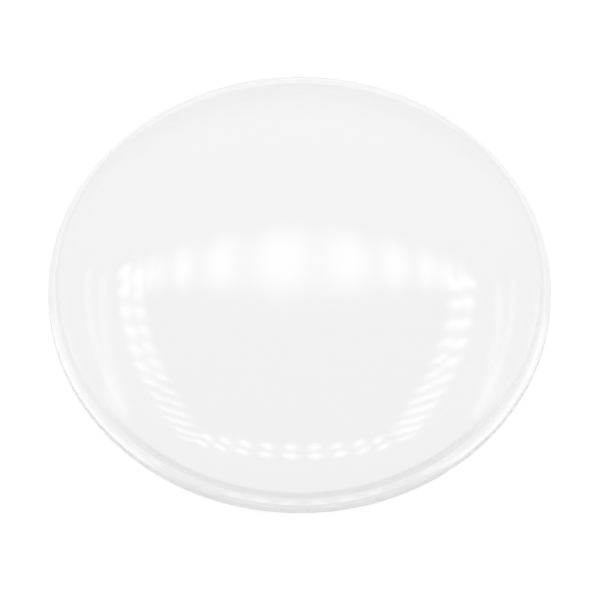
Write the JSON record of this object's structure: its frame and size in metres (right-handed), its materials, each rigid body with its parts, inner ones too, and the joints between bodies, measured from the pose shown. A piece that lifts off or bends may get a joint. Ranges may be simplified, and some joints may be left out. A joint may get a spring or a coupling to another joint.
{
  "type": "watch crystal",
  "caption": "Round domed watch crystal in clear acrylic, with a bevelled rim and a narrow flat seat, hollow underneath; it closes the case over dial and hands.",
  "frame": {"origin": "centre of the flat underside of the foot, on the crystal's axis", "axes": "+Z along the crystal's axis, from the seat towards the crown; X and Y are equal, the crystal is a solid of revolution"},
  "size_m": [0.0374, 0.0374, 0.0042],
  "materials": {
    "clear_acrylic": "clear acrylic sheet, polished on every face, with a turned rim"
  },
  "bodies": {
    "root": {"crystal": "clear_acrylic"}
  },
  "joints": []
}
